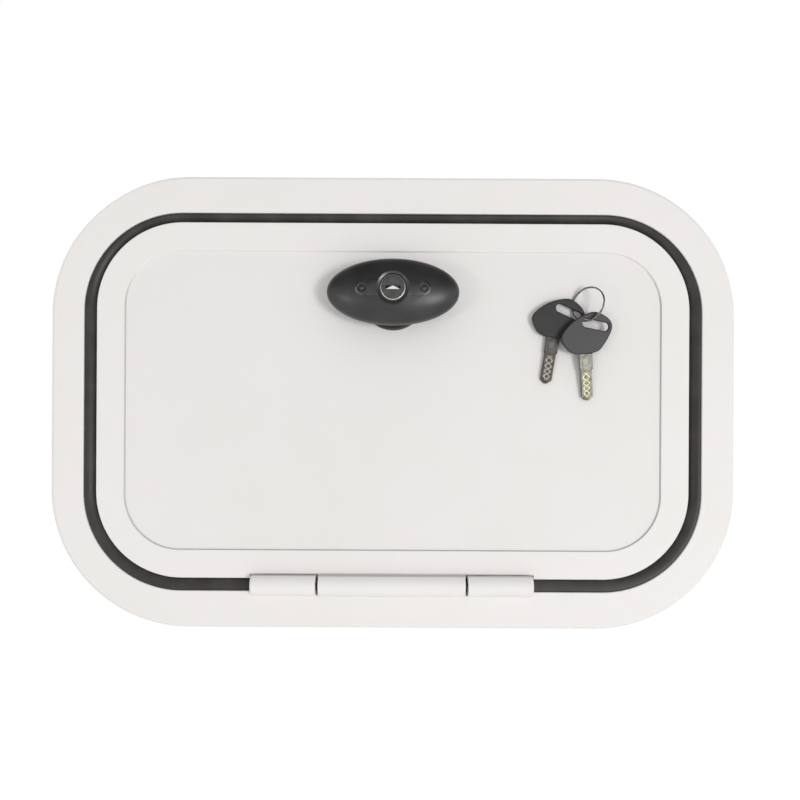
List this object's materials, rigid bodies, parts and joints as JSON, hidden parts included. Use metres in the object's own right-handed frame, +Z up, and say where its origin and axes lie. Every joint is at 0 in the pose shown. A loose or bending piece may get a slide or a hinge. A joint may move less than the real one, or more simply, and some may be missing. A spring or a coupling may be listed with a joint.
{
  "type": "luggage access door",
  "caption": "Flush luggage locker door with rounded corners: white flanged frame, black seal, bottom barrel hinge, oval turn handle with key lock, and keys on a ring.",
  "frame": {"origin": "centre of the flange's flat rear face, in the plane of the wall's outer face", "axes": "+X along the hinge, to the right seen from outside; +Z up; +Y into the wall, so the outside faces -Y"},
  "size_m": [0.5, 0.0726, 0.33],
  "materials": {
    "white_abs": "satin",
    "black_rubber": "matt",
    "black_plastic": "satin",
    "key_head_plastic": "satin",
    "plated_steel": "plated",
    "key_blade_metal": "plated",
    "cast_zinc": "satin"
  },
  "bodies": {
    "frame": {"frame_moulding": "white_abs", "rubber_seal": "black_rubber", "hinge_knuckle_left": "white_abs", "hinge_knuckle_right": "white_abs", "hinge_pin": "plated_steel"},
    "door": {"door_outer_skin": "white_abs", "door_inner_liner": "white_abs", "door_hinge_knuckle": "white_abs", "handle_base": "black_plastic", "latch_body_tube": "cast_zinc", "latch_back_nut": "plated_steel", "key_ring": "plated_steel", "front_key_bow": "key_head_plastic", "front_key_blade": "key_blade_metal", "rear_key_bow": "key_head_plastic", "rear_key_blade": "key_blade_metal"},
    "handle": {"handle_grip": "black_plastic", "lock_surround": "black_plastic", "latch_spindle": "plated_steel", "latch_cam": "plated_steel", "cam_nut": "plated_steel"},
    "lock": {"lock_plug": "cast_zinc", "keyway_shutter": "plated_steel"}
  },
  "joints": [
    {"name": "door_hinge", "type": "hinge", "parent": "frame", "child": "door", "pos_m": [0, -0.009, -0.13355], "axis": [1, 0, 0], "range_deg": [0, 170]},
    {"name": "handle_turn", "type": "hinge", "parent": "door", "child": "handle", "pos_m": [0, -0.012, 0.0764], "axis": [0, 1, 0], "range_deg": [0, 90]},
    {"name": "lock_turn", "type": "hinge", "parent": "handle", "child": "lock", "pos_m": [0, -0.03, 0.0764], "axis": [0, 1, 0], "range_deg": [0, 90]}
  ]
}
